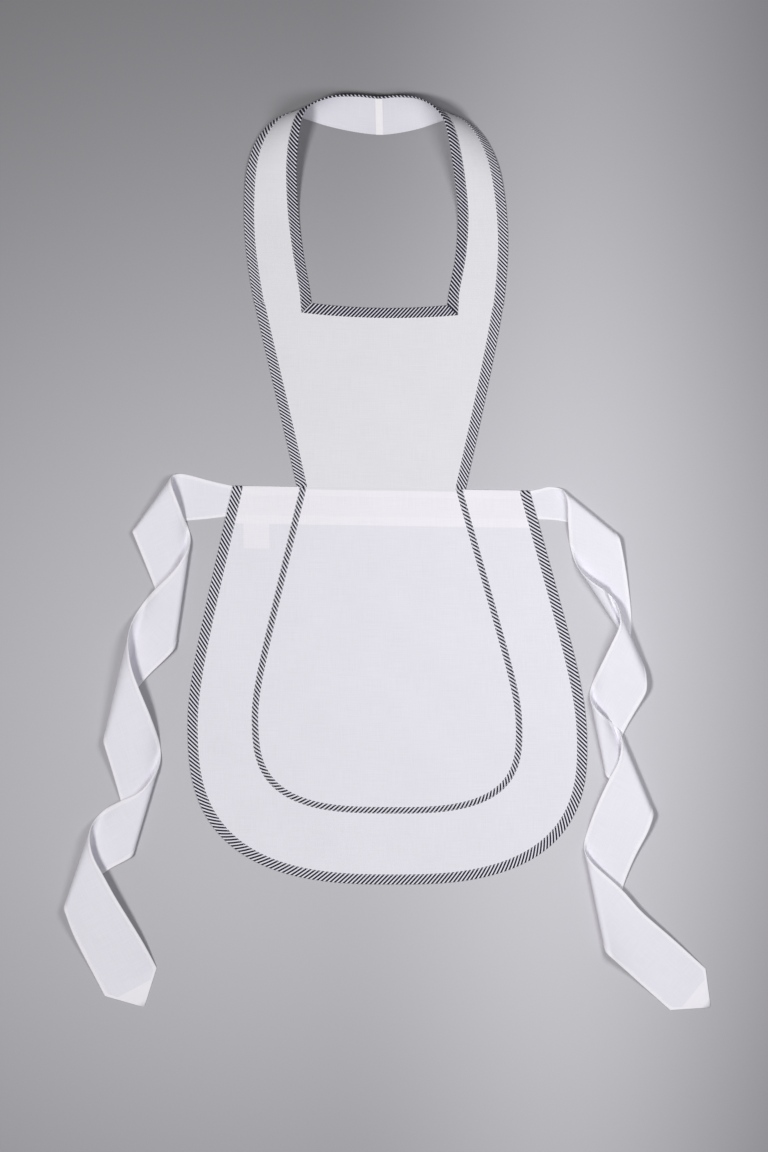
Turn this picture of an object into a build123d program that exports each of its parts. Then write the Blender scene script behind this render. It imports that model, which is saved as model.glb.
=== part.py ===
from build123d import *
from math import cos, sin, pi, radians, hypot
import os

# Bib apron of white cotton with striped bias trim, lying face up on a flat surface.
# Millimetres. Origin: middle of the waist, on the surface the apron lies on, just below the seam.
# +Y runs up the bib to the neck, +X to the apron's right-hand side as seen from above, +Z up.

os.makedirs("parts", exist_ok=True)

# ---------------------------------------------------------------- driving dimensions
LAYER = 0.4             # thickness of one layer of cloth in this model
TRIM = 0.5              # thickness of a folded bias strip
GAP = 0.3               # clearance between pieces that move apart
FACING_Z = 0.0          # facings and the label lie on the surface
FRONT_Z = LAYER         # the outer cloth lies on the facings
TRIM_Z = 2 * LAYER      # the trim lies on the outer cloth
SEAM_V = 1.0            # height of the waist seam, where the bib folds over, above the origin

# The cloth lies a little out of square: its centre line leans to -X going up, and bows to +X
# over the bib. Its cross lines fall going to +X, less and less towards the hem.
LEAN = 0.0245
TILT = 0.0165
HEM_TILT = 0.003
SHIFT = -1.0            # middle of the waist in X
BIB_BOW = 2.5
BIB_BOW_TOP = 420.0     # height where the bow ends

BINDING_W = 12.5        # bias strip on the outer edges
TRIM_W = 8.0            # bias strip inside the border of the skirt

# Skirt: half widths and heights measured from the waist seam
WAIST_HALF = 188.4
SKIRT_HALF = 253.3      # half width at the widest place
SKIRT_WIDE_V = -310.0   # height of the widest place
HEM_V = -502.0
SKIRT_FLARE = 1.2       # how straight the side runs before it turns into the hem
HEM_ROUND = 2.7         # exponent of the rounded hem
INNER_WAIST_HALF = 103.3
INNER_HALF = 171.6
INNER_WIDE_V = -295.0
INNER_HEM_V = -412.0
INNER_FLARE = 1.12
INNER_ROUND = 3.0
WAISTBAND_H = 46.5

# Bib
BIB_WAIST_HALF = 106.6
BIB_HALF = 167.3        # half width at its widest place
BIB_WIDE_V = 325.0      # height of that place, up on the straps
BIB_FLARE = 1.2
NECKLINE_V = 234.6      # height of the neckline's corners
NECKLINE_HALF = 86.9
NECKLINE_SHIFT = 1.0    # the neckline's middle lies this far to +X of the bib's
NECKLINE_DIP = 5.0      # the neckline sags this much between its corners

# Care label behind the skirt, hanging from the waistband facing
LABEL_U = -176.5        # its edge nearest the left side seam
LABEL_W = 33.0
LABEL_BOTTOM = -78.0

# Shoulder strap, from the neckline corner to the centre back. Each station is (half width and
# height of the outer edge, the same for the inner edge, rise and shift to +X of the inner edge).
# The strap stands up on its outer edge at the shoulder and turns over behind the neck.
STRAP = [
    (158.0, NECKLINE_V, NECKLINE_HALF, NECKLINE_V, 0.0, NECKLINE_SHIFT),
    (166.0, 300.0, 97.4, 298.0, 0.0, 3.0),
    (166.6, 350.0, 102.0, 350.0, 3.0, 3.4),
    (161.5, 398.0, 100.8, 395.0, 16.0, 2.2),
    (152.0, 430.0, 97.8, 426.0, 30.0, 1.6),
    (138.0, 453.0, 94.6, 448.0, 41.0, 1.4),
    (120.0, 468.5, 90.0, 466.5, 47.0, 1.0),
    (102.0, 472.0, 82.0, 479.5, 40.0, 0.5),
    (83.0, 467.0, 70.0, 489.0, 30.0, 0.0),
    (58.0, 459.0, 51.0, 496.5, 22.0, 0.0),
    (29.0, 452.8, 25.0, 498.3, 17.0, 0.0),
    (0.0, 449.8, 0.0, 496.3, 16.5, 0.0),
]
EDGE_LIFT = 1.6         # rise of the outer edge where the strap has turned over onto its trim
BACK_SHIFT = 9.0        # the centre back lies this far to +X of the centre line
BACK_SHIFT_FROM = 100.0 # half width at which that shift begins
SEAM_ALLOWANCE = 9.0    # width of the pressed-open seam at the centre back

# Waist ties: a ribbon that turns over at each fold, every run lying on the one before
TIE_ROOT_V = (0.0, -37.0)   # where the pleated end is caught in the side seam
TIE_T = 0.8             # thickness of the ribbon
TIE_Z = 0.5             # height of the ribbon's middle where it lies on the surface
HINGE_X = 202.0         # where the tie leaves its sewn-in end and can fold up
ROOT_GAP = 0.3          # the sewn-in end starts this far outside the side seam
ROLL_STEP = 30          # degrees between two sections of the roll at a fold
RUN_STEPS = (0.25, 0.5, 0.75)           # sections of a run between two folds
LAST_STEPS = (0.2, 0.4, 0.6, 0.8, 1.0)  # sections of the last run, to the corners of the point
POINT_STEPS = (0.5, 0.97)               # sections of the point
# Each fold is (end nearer the neck, end nearer the hem, height of the roll).
TIE_LEFT_FOLDS = [
    ((-270.0, 12.0), (-317.0, -54.0), 14.0),
    ((-243.0, -67.0), (-262.0, -199.0), 14.0),
    ((-324.0, -192.0), (-354.0, -319.0), 14.0),
    ((-280.0, -342.0), (-316.0, -465.0), 14.0),
    ((-373.0, -439.0), (-404.0, -531.0), 12.0),
]
# Corners of the tie's end, the one nearer the neck first, and its point
TIE_LEFT_END = ((-286.0, -608.0), (-352.0, -644.0), (-302.0, -658.0))
TIE_RIGHT_FOLDS = [
    ((229.0, -1.0), (301.0, -60.0), 14.0),
    ((245.0, -95.0), (315.0, -198.0), 20.0),
    ((302.0, -156.0), (340.0, -246.0), 22.0),
    ((262.0, -257.0), (284.0, -364.0), 14.0),
    ((305.0, -316.0), (345.0, -411.0), 14.0),
    ((256.0, -455.0), (283.0, -587.0), 14.0),
]
TIE_RIGHT_END = ((411.0, -609.0), (366.0, -662.0), (417.0, -658.0))


# ---------------------------------------------------------------- helpers
def lay(u, v, z=0.0):
    """Put a point of the square cut apron on the surface, out of square as it lies."""
    tilt = TILT + (HEM_TILT - TILT) * max(0.0, v / HEM_V)
    bow = BIB_BOW * sin(pi * min(max(v, 0.0), BIB_BOW_TOP) / BIB_BOW_TOP)
    return Vector(u - LEAN * v + SHIFT + bow, v - tilt * u, z)


def flare(t, straightness):
    """0 to 1 for t from 0 to 1: nearly straight, then level at the end."""
    power = straightness / (straightness - 1)
    return straightness * t - (straightness - 1) * t ** power


def u_outline(waist, half, wide_v, hem_v, straightness, roundness):
    """Points of a U from the waist seam at +u, down and round the hem, to the waist seam at -u."""
    side = []
    for i in range(6):
        t = i / 6
        side.append((waist + (half - waist) * flare(t, straightness), wide_v * t))
    for i in range(12):
        a = pi / 24 * i
        drop = (wide_v - hem_v) * sin(a) ** (2 / roundness)
        side.append((half * cos(a) ** (2 / roundness), wide_v - drop))
    return side + [(0.0, hem_v)] + [(-u, v) for u, v in reversed(side)]


def inset(points, distance):
    """The U moved inwards, square to itself, with its ends kept on the waist seam."""
    moved = []
    last = len(points) - 1
    for i, (u, v) in enumerate(points):
        u0, v0 = points[max(i - 1, 0)]
        u1, v1 = points[min(i + 1, last)]
        length = hypot(u1 - u0, v1 - v0)
        step_v = 0.0 if i in (0, last) else distance * (u0 - u1) / length
        moved.append((u + distance * (v1 - v0) / length, v + step_v))
    return moved


def closed_solid(triangles):
    return Solid(Shell([Face(Wire.make_polygon(corners, close=True)) for corners in triangles]))


def ruled(sections):
    """One solid through sections of a ribbon, its sides made of triangles.

    A section is (points on the lower side, points on the upper side), both from edge to edge.
    Both sides are cut along the same diagonals, so the ribbon keeps its thickness in a twist.
    """
    triangles = []
    for (lower, upper), (next_lower, next_upper) in zip(sections, sections[1:]):
        for k in range(len(lower) - 1):
            triangles.append((lower[k], lower[k + 1], next_lower[k + 1]))
            triangles.append((lower[k], next_lower[k + 1], next_lower[k]))
            triangles.append((upper[k], next_upper[k + 1], upper[k + 1]))
            triangles.append((upper[k], next_upper[k], next_upper[k + 1]))
        triangles.append((lower[-1], upper[-1], next_upper[-1]))
        triangles.append((lower[-1], next_upper[-1], next_lower[-1]))
        triangles.append((upper[0], lower[0], next_lower[0]))
        triangles.append((upper[0], next_lower[0], next_upper[0]))
    for cap, (lower, upper) in enumerate((sections[0], sections[-1])):
        for k in range(len(lower) - 1):
            pair = [(lower[k], upper[k], upper[k + 1]), (lower[k], upper[k + 1], lower[k + 1])]
            triangles += pair if cap == 0 else [(r, q, p) for p, q, r in pair]
    solid = closed_solid(triangles)
    if solid.volume < 0:
        solid = closed_solid([(r, q, p) for p, q, r in triangles])
    return solid


def slab(points, normal, low, high):
    """Section of a ribbon through the points, between two heights along the normal."""
    return ([p + normal * low for p in points], [p + normal * high for p in points])


def flat_strip(edge_a, edge_b, z, thickness):
    """Ribbon lying flat between two rows of (u, v) points."""
    up = Vector(0, 0, 1)
    return ruled([slab([lay(*a), lay(*b)], up, z, z + thickness) for a, b in zip(edge_a, edge_b)])


def flat_plate(points, z, thickness):
    """Flat cloth with a closed outline of (u, v) points."""
    outline = Wire.make_polygon([lay(u, v, z) for u, v in points], close=True)
    face = Face(outline)
    return extrude(face, amount=thickness, dir=(0, 0, 1))


def save(name, solid):
    export_step(solid, f"parts/{name}.step")


# ---------------------------------------------------------------- skirt
SKIRT_TOP = SEAM_V - GAP / 2
BIB_BOTTOM = SEAM_V + GAP / 2


def below_seam(points):
    """The U with its two ends on the waist seam."""
    return [(u, SKIRT_TOP) if v == 0 else (u, v) for u, v in points]


skirt_edge = below_seam(u_outline(WAIST_HALF, SKIRT_HALF, SKIRT_WIDE_V, HEM_V, SKIRT_FLARE, HEM_ROUND))
inner_edge = below_seam(u_outline(INNER_WAIST_HALF, INNER_HALF, INNER_WIDE_V, INNER_HEM_V,
                                  INNER_FLARE, INNER_ROUND))

save("skirt_panel", flat_plate(skirt_edge, FRONT_Z, LAYER))
save("skirt_hem_binding", flat_strip(skirt_edge, inset(skirt_edge, BINDING_W), TRIM_Z, TRIM))
save("skirt_inner_trim", flat_strip(inner_edge, inset(inner_edge, TRIM_W), TRIM_Z, TRIM))


def skirt_half(v):
    """Half width of the skirt at a height between the waist seam and its widest place."""
    t = max(0.0, v / SKIRT_WIDE_V)
    return WAIST_HALF + (SKIRT_HALF - WAIST_HALF) * flare(t, SKIRT_FLARE)


waistband_rows = [SKIRT_TOP, 0.0, -WAISTBAND_H / 2, -WAISTBAND_H]
save("waistband_facing", flat_strip([(skirt_half(v), v) for v in waistband_rows],
                                    [(-skirt_half(v), v) for v in waistband_rows], FACING_Z, LAYER))

label_top = -WAISTBAND_H - GAP / 2
label_corners = [(LABEL_U, label_top), (LABEL_U + LABEL_W, label_top),
                 (LABEL_U + LABEL_W, LABEL_BOTTOM), (LABEL_U, LABEL_BOTTOM)]
save("care_label", flat_plate(label_corners, FACING_Z, LAYER))


def root_edge(side):
    """Upper and lower end of the side seam's stretch that holds a tie."""
    return [lay(side * (skirt_half(v) + ROOT_GAP), v) for v in TIE_ROOT_V]


def tie_root(side):
    """The sewn-in end of a tie: from the side seam out to the line where the tie folds up."""
    up = Vector(0, 0, 1)
    low, high = TIE_Z - TIE_T / 2, TIE_Z + TIE_T / 2
    upper, lower = root_edge(side)
    fold_x = side * (HINGE_X - GAP / 2)
    fold_line = [Vector(fold_x, upper.Y, 0), Vector(fold_x, lower.Y, 0)]
    return ruled([slab([upper, lower], up, low, high), slab(fold_line, up, low, high)])


save("tie_left_root", tie_root(-1))
save("tie_right_root", tie_root(1))


# ---------------------------------------------------------------- waist ties
def roll_direction(upper, lower, middle):
    """Unit vector square to a fold, pointing away from the run that comes to it."""
    along = Vector(lower[0] - upper[0], lower[1] - upper[1], 0).normalized()
    outward = Vector(along.Y, -along.X, 0)
    return outward if outward.dot(Vector(*upper, 0) - middle) > 0 else -outward


def falling(start, goal, steps):
    """Pairs of points on a run that comes down from a roll: the upper edge last, the lower first."""
    pairs = []
    for t in steps:
        upper, lower = [a + (b - a) * t for a, b in zip(start, goal)]
        rise = start[0].Z - TIE_Z
        pairs.append((Vector(upper.X, upper.Y, TIE_Z + rise * (1 - t ** 2)),
                      Vector(lower.X, lower.Y, TIE_Z + rise * (1 - t) ** 3)))
    return pairs


def tie(side, folds, end):
    """A ribbon that starts at the fold-up line and turns over at each fold to its pointed end."""
    sections = []
    facing_up = 1
    up = Vector(0, 0, 1)

    def add(upper, lower, normal):
        sections.append(slab([upper, lower], normal * facing_up, -TIE_T / 2, TIE_T / 2))

    start = [Vector(side * (HINGE_X + GAP / 2), edge.Y, TIE_Z) for edge in root_edge(side)]
    add(*start, up)
    for number, (upper, lower, roll) in enumerate(folds):
        outward = roll_direction(upper, lower, (start[0] + start[1]) * 0.5)
        radius = roll / 2
        fold = [Vector(*corner, TIE_Z) - outward * radius for corner in (upper, lower)]
        if number > 0:
            for pair in falling(start, fold, RUN_STEPS):
                add(*pair, up)
        for degrees in range(-90, 91, ROLL_STEP):
            turn = radians(degrees)
            to_centre = outward * -cos(turn) - up * sin(turn)
            shift = outward * (radius * cos(turn)) + up * (radius + radius * sin(turn))
            add(fold[0] + shift, fold[1] + shift, to_centre)
        start = [corner + up * roll for corner in fold]
        facing_up = -facing_up
    *corners, tip = [Vector(*place, TIE_Z) for place in end]
    for pair in falling(start, corners, LAST_STEPS):
        add(*pair, up)
    for t in POINT_STEPS:
        add(*[corner + (tip - corner) * t for corner in corners], up)
    return ruled(sections)


save("tie_left", tie(-1, TIE_LEFT_FOLDS, TIE_LEFT_END))
save("tie_right", tie(1, TIE_RIGHT_FOLDS, TIE_RIGHT_END))


# ---------------------------------------------------------------- bib
def bib_half(v):
    """Half width of the bib's outer edge at a height above the waist seam."""
    return BIB_WAIST_HALF + (BIB_HALF - BIB_WAIST_HALF) * flare(v / BIB_WIDE_V, BIB_FLARE)


def neckline(t):
    """Point of the neckline, which sags between its corners at t = -1 and t = 1."""
    return (NECKLINE_SHIFT + NECKLINE_HALF * t, NECKLINE_V - NECKLINE_DIP * (1 - t ** 2))


bib_rows = [BIB_BOTTOM + i * (NECKLINE_V - BIB_BOTTOM) / 6 for i in range(7)]
neck_ts = [1 - i / 4 for i in range(9)]
neck_edge = [neckline(t) for t in neck_ts]
bib_outline = ([(bib_half(v), v) for v in bib_rows] + neck_edge
               + [(-bib_half(v), v) for v in reversed(bib_rows)])
save("bib_front", flat_plate(bib_outline, FRONT_Z, LAYER))
save("bib_facing", flat_plate(bib_outline, FACING_Z, LAYER))

# The neckline strip ends in mitres, where it meets the strips on the straps.
lower_edge = [(u + BINDING_W * t, v - BINDING_W) for t, (u, v) in zip(neck_ts, neck_edge)]
save("neckline_binding", flat_strip(neck_edge, lower_edge, TRIM_Z, TRIM))


# ---------------------------------------------------------------- shoulder straps and neck loop
def strap_frames(side):
    """Outer edge, inner edge and upward-facing normal of the strap at each station."""
    edges = []
    for out_u, out_v, in_u, in_v, rise, in_shift in STRAP:
        lift = min(EDGE_LIFT, rise / 10)
        shift = BACK_SHIFT * max(0.0, 1 - out_u / BACK_SHIFT_FROM)
        edges.append((lay(side * out_u + shift, out_v, lift),
                      lay(side * in_u + shift + in_shift, in_v, lift + rise)))
    frames = []
    last = len(edges) - 1
    for i, (outer, inner) in enumerate(edges):
        before = edges[max(i - 1, 0)]
        after = edges[min(i + 1, last)]
        tangent = (after[0] + after[1]) - (before[0] + before[1])
        if i == 0:
            tangent = Vector(0, 1, 0)
        if i == last:
            tangent = Vector(-side, 0, 0)
        normal = tangent.cross(inner - outer).normalized() * side
        frames.append((outer, inner, normal))
    return frames


def across(outer, inner):
    """Points across the strap: its edges, and the inner sides of its two bias strips."""
    step = (inner - outer).normalized() * BINDING_W
    return [outer, outer + step, inner - step, inner]


def strap_layer(frames, low, high):
    return ruled([slab(across(outer, inner), normal, low, high) for outer, inner, normal in frames])


def edge_strip(frames, inner_edge, first):
    """Bias strip on one edge of the strap, after the given sections that lie on the bib."""
    part = slice(2, 4) if inner_edge else slice(0, 2)
    return ruled(first + [slab(across(outer, inner)[part], normal, TRIM_Z, TRIM_Z + TRIM)
                          for outer, inner, normal in frames])


up = Vector(0, 0, 1)
for side, name in ((-1, "left"), (1, "right")):
    frames = strap_frames(side)
    save(f"strap_{name}", strap_layer(frames, FRONT_Z, FRONT_Z + LAYER))
    save(f"strap_facing_{name}", strap_layer(frames, FACING_Z, FACING_Z + LAYER))
    on_bib = [slab([lay(side * bib_half(v), v), lay(side * (bib_half(v) - BINDING_W), v)], up,
                   TRIM_Z, TRIM_Z + TRIM) for v in bib_rows[:-1]]
    save(f"bib_binding_{name}", edge_strip(frames, False, on_bib))
    corner_u, corner_v = neckline(side)
    mitre = slab([lay(corner_u + side * BINDING_W, corner_v - BINDING_W),
                  lay(corner_u, corner_v)], up, TRIM_Z, TRIM_Z + TRIM)
    save(f"neck_binding_{name}", edge_strip(frames[1:], True, [mitre]))

outer, inner, normal = strap_frames(1)[-1]
half_seam = Vector(SEAM_ALLOWANCE / 2, 0, 0)
save("back_neck_seam", ruled([slab([outer + shift, inner + shift], normal, -LAYER, 0)
                              for shift in (-half_seam, half_seam)]))
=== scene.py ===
import math

import bmesh
import bpy
import numpy as np
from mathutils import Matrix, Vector
from mathutils.geometry import delaunay_2d_cdt


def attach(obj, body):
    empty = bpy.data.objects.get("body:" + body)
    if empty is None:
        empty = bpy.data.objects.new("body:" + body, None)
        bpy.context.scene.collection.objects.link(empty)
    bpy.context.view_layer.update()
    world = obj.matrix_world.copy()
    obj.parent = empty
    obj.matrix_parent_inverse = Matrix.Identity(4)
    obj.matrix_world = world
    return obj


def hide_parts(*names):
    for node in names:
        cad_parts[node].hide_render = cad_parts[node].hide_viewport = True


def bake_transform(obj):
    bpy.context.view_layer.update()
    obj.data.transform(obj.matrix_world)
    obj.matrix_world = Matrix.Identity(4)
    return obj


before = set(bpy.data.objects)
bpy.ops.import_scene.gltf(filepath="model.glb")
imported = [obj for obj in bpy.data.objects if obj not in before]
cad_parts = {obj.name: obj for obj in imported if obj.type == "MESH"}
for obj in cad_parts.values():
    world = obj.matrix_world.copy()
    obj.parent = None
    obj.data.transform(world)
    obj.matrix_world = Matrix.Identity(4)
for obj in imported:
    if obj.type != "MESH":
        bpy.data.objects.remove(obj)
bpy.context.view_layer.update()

# White cotton bib apron with striped bias trim, lying face up on a studio floor.
# Shapes are worked out in millimetres, in the CAD frame, and scaled to metres in new_object().
MM = 0.001

# ------------ sizes shared with the CAD model
SEAM_V = 1.0            # the waist seam
LEAN = 0.0245           # the cloth lies a little out of square: this much to -X going up,
TILT, HEM_TILT = 0.0165, 0.003     # its cross lines falling to +X, less so at the hem,
SHIFT = -1.0            # with the middle of the waist here
BIB_BOW, BIB_BOW_TOP = 2.5, 420.0   # and the bib bowed to +X
BINDING_W = 12.5
TRIM_W = 8.0
WAIST_HALF, SKIRT_HALF = 188.4, 253.3
SKIRT_WIDE_V, HEM_V, SKIRT_FLARE, HEM_ROUND = -310.0, -502.0, 1.2, 2.7
INNER_WAIST_HALF, INNER_HALF = 103.3, 171.6
INNER_WIDE_V, INNER_HEM_V, INNER_FLARE, INNER_ROUND = -295.0, -412.0, 1.12, 3.0
WAISTBAND_H = 46.5
LABEL_U, LABEL_W, LABEL_BOTTOM = -176.5, 33.0, -78.0
BIB_WAIST_HALF, BIB_HALF, BIB_WIDE_V, BIB_FLARE = 106.6, 167.3, 325.0, 1.2
NECKLINE_V, NECKLINE_HALF, NECKLINE_SHIFT, NECKLINE_DIP = 234.6, 86.9, 1.0, 5.0
# stations of a strap: outer half width and height, the same for the inner edge, rise and shift of
# the inner edge
STRAP = np.array([
    (158, NECKLINE_V, NECKLINE_HALF, NECKLINE_V, 0, NECKLINE_SHIFT), (166, 300, 97.4, 298, 0, 3),
    (166.6, 350, 102, 350, 3, 3.4), (161.5, 398, 100.8, 395, 16, 2.2), (152, 430, 97.8, 426, 30, 1.6),
    (138, 453, 94.6, 448, 41, 1.4), (120, 468.5, 90, 466.5, 47, 1), (102, 472, 82, 479.5, 40, 0.5),
    (83, 467, 70, 489, 30, 0), (58, 459, 51, 496.5, 22, 0), (29, 452.8, 25, 498.3, 17, 0),
    (0, 449.8, 0, 496.3, 16.5, 0)], float)
EDGE_LIFT, BACK_SHIFT, BACK_SHIFT_FROM = 1.6, 9.0, 100.0
SEAM_ALLOWANCE = 9.0
TIE_WIDTH = 75.0

HEM_W = 4.8             # hem of a tie
POINT_HEM = 38.0        # length of the tie's point that is turned in

CLOTH = 0.4             # thickness of one layer
FACING_TOP = 0.42       # top of the facings above the surface
SINGLE_TOP = 0.50       # top of the skirt where it is a single layer
DOUBLE_TOP = 0.86       # top of the outer cloth over a facing
SEAM_DIP = 0.05         # how deep the waist seam lies in the cloth
LINING_DROP = 0.44      # from the outer cloth's face to the lining's
WRONG_SIDE = DOUBLE_TOP - LINING_DROP - CLOTH - 0.02    # just under the lining
UP = (0.0, 0.0, 1.0)


# ------------ helpers
def lay(u, v):
    """Where a point of the square cut apron lies on the surface."""
    u, v = np.asarray(u, float), np.asarray(v, float)
    tilt = TILT + (HEM_TILT - TILT) * np.maximum(0, v / HEM_V)
    bow = BIB_BOW * np.sin(math.pi * np.clip(v, 0, BIB_BOW_TOP) / BIB_BOW_TOP)
    return u - LEAN * v + SHIFT + bow, v - tilt * u


def laid(u, v, top):
    """Points of the cut apron as it lies, at the height that top gives."""
    return np.stack([*lay(u, v), top(u, v)], -1)


def smooth(low, high, x):
    t = np.clip((np.asarray(x, float) - low) / (high - low), 0, 1)
    return t * t * (3 - 2 * t)


def flare(t, straightness):
    power = straightness / (straightness - 1)
    return straightness * t - (straightness - 1) * np.clip(t, 0, 1) ** power


def ripple(x, y):
    """Height of the slow waves left in cloth that was smoothed flat by hand."""
    slow = np.sin(x / 57 + 0.9 * np.sin(y / 83)) * np.sin(y / 101 + 0.5 * np.sin(x / 71) + 0.4)
    quick = np.sin((x + 0.7 * y) / 29 + 1.3) * np.sin((y - 0.4 * x) / 43 + 0.2)
    return 0.55 * (1 + slow) + 0.16 * (1 + quick)


def run_length(points):
    """Length along the polyline up to each of its points."""
    return np.concatenate([[0], np.cumsum(np.linalg.norm(np.diff(points, axis=0), axis=1))])


def rippled(height):
    """Height of a layer that follows the slow waves."""
    return lambda u, v: height + ripple(*lay(u, v))


def resample(points, step):
    """The polyline with points about a step apart, and the length up to each."""
    points = np.asarray(points, float)
    length = run_length(points)
    count = max(2, int(round(length[-1] / step)) + 1)
    at = np.linspace(0, length[-1], count)
    return np.stack([np.interp(at, length, points[:, k]) for k in range(points.shape[1])], 1), at


def spline(points, count):
    """Catmull-Rom curve through the points, with count steps between two of them."""
    p = np.asarray(points, float)
    p = np.vstack([2 * p[0] - p[1], p, 2 * p[-1] - p[-2]])
    out = []
    for a, b, c, d in zip(p, p[1:], p[2:], p[3:]):
        for t in np.arange(count) / count:
            out.append(0.5 * (2 * b + (c - a) * t + (2 * a - 5 * b + 4 * c - d) * t ** 2
                              + (3 * b - a - 3 * c + d) * t ** 3))
    return np.array(out + [p[-2]])


def unit(a):
    return a / np.maximum(np.linalg.norm(a, axis=-1, keepdims=True), 1e-9)


def grid_faces(rows, cols, close=False, start=0):
    """Quads of a grid of points, numbered row by row. close joins the last column to the first."""
    faces = []
    for i in range(rows - 1):
        for j in range(cols if close else cols - 1):
            k = (j + 1) % cols
            a, b = start + i * cols + j, start + i * cols + k
            faces.append((a, b, b + cols, a + cols))
    return faces


def linked(name, data):
    """A new object of the data, in the scene."""
    obj = bpy.data.objects.new(name, data)
    bpy.context.scene.collection.objects.link(obj)
    return obj


def new_object(name, points, faces, uv, material, thickness=0.0, weld=False):
    """A mesh in metres from points and texture coordinates in millimetres."""
    mesh = bpy.data.meshes.new(name)
    mesh.from_pydata((np.asarray(points, float) * MM).tolist(), [], [tuple(f) for f in faces])
    index = np.empty(len(mesh.loops), int)
    mesh.loops.foreach_get("vertex_index", index)
    layer = mesh.uv_layers.new(name="UVMap")
    layer.data.foreach_set("uv", (np.asarray(uv, float)[index] * MM).ravel())
    b = bmesh.new()
    b.from_mesh(mesh)
    if weld:
        bmesh.ops.remove_doubles(b, verts=b.verts, dist=0.02 * MM)
    if not thickness:
        bmesh.ops.recalc_face_normals(b, faces=b.faces)
    b.to_mesh(mesh)
    b.free()
    mesh.materials.append(material)
    mesh.polygons.foreach_set("use_smooth", [True] * len(mesh.polygons))
    mesh.update()
    obj = linked(name, mesh)
    if thickness:
        solid = obj.modifiers.new("Cloth thickness", "SOLIDIFY")
        solid.thickness = thickness * MM
        solid.offset = -1
        flat_shading = obj.modifiers.new("Flat at the rim", "WEIGHTED_NORMAL")
        flat_shading.keep_sharp = True
    return obj


def fill(outline, spacing):
    """Points and triangles that fill a closed outline in (u, v), edge points first."""
    outline = np.asarray(outline, float)
    low, high = outline.min(0), outline.max(0)
    nodes = []
    for row, v in enumerate(np.arange(low[1] + spacing * 0.6, high[1], spacing * 0.87)):
        us = np.arange(low[0] + (row % 2) * spacing / 2, high[0], spacing)
        nodes.append(np.stack([us, np.full(len(us), v)], 1))
    nodes = np.vstack(nodes)
    a, b = outline, np.roll(outline, -1, 0)
    inside = np.zeros(len(nodes), bool)
    nearest = np.full(len(nodes), 1e9)
    for p, q in zip(a, b):
        crosses = (p[1] > nodes[:, 1]) != (q[1] > nodes[:, 1])
        run = (q[0] - p[0]) * (nodes[:, 1] - p[1]) / (q[1] - p[1] + 1e-12) + p[0]
        inside ^= crosses & (nodes[:, 0] < run)
        t = np.clip(((nodes - p) @ (q - p)) / max((q - p) @ (q - p), 1e-12), 0, 1)
        nearest = np.minimum(nearest, np.linalg.norm(nodes - p - t[:, None] * (q - p), axis=1))
    nodes = nodes[inside & (nearest > 0.45 * spacing)]
    every = np.vstack([outline, nodes])
    count = len(outline)
    made = delaunay_2d_cdt([Vector(p) for p in every], [(i, (i + 1) % count) for i in range(count)],
                           [], 1, 1e-4)
    return np.array([tuple(p) for p in made[0]]), [tuple(f) for f in made[2]]


# ------------ materials
class Graph:
    """A material's node tree, with short ways to add nodes."""

    def __init__(self, name):
        self.material = bpy.data.materials.new(name)
        self.material.use_nodes = True
        self.tree = self.material.node_tree
        self.tree.nodes.clear()
        self.shader = self.add("ShaderNodeBsdfPrincipled")
        out = self.add("ShaderNodeOutputMaterial")
        self.tree.links.new(self.shader.outputs[0], out.inputs[0])

    def add(self, kind, inputs=None, **settings):
        node = self.tree.nodes.new(kind)
        for key, value in settings.items():
            setattr(node, key, value)
        for key, value in (inputs or {}).items():
            self.put(node.inputs[key], value)
        return node

    def put(self, socket, value):
        if isinstance(value, bpy.types.NodeSocket):
            self.tree.links.new(value, socket)
        else:
            socket.default_value = value

    def math(self, operation, a, b=0.0, c=0.0):
        node = self.add("ShaderNodeMath", {0: a, 1: b, 2: c}, operation=operation)
        return node.outputs[0]

    def vector(self, operation, inputs, out=0):
        return self.add("ShaderNodeVectorMath", inputs, operation=operation).outputs[out]

    def ramp(self, value, low, high, to_low=0.0, to_high=1.0):
        node = self.add("ShaderNodeMapRange", {0: value, 1: low, 2: high, 3: to_low, 4: to_high},
                        interpolation_type="SMOOTHSTEP")
        return node.outputs[0]

    def noise(self, vector, scale, detail=2.0, stretch=(1, 1, 1)):
        scaled = self.add("ShaderNodeMapping", {"Vector": vector, "Scale": stretch}).outputs[0]
        return self.add("ShaderNodeTexNoise", {"Vector": scaled, "Scale": scale, "Detail": detail}).outputs[0]

    def mix(self, factor, a, b):
        node = self.add("ShaderNodeMix", {0: factor, 6: a, 7: b}, data_type="RGBA")
        return node.outputs[2]

    def bump(self, height, strength, distance):
        node = self.add("ShaderNodeBump", {"Height": height, "Strength": strength, "Distance": distance})
        self.put(self.shader.inputs["Normal"], node.outputs[0])

    def finish_cloth(self, roughness, sheen):
        for key, value in (("Roughness", roughness), ("Sheen Weight", sheen), ("Sheen Roughness", 0.45),
                           ("Specular IOR Level", 0.25)):
            self.shader.inputs[key].default_value = value


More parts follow.
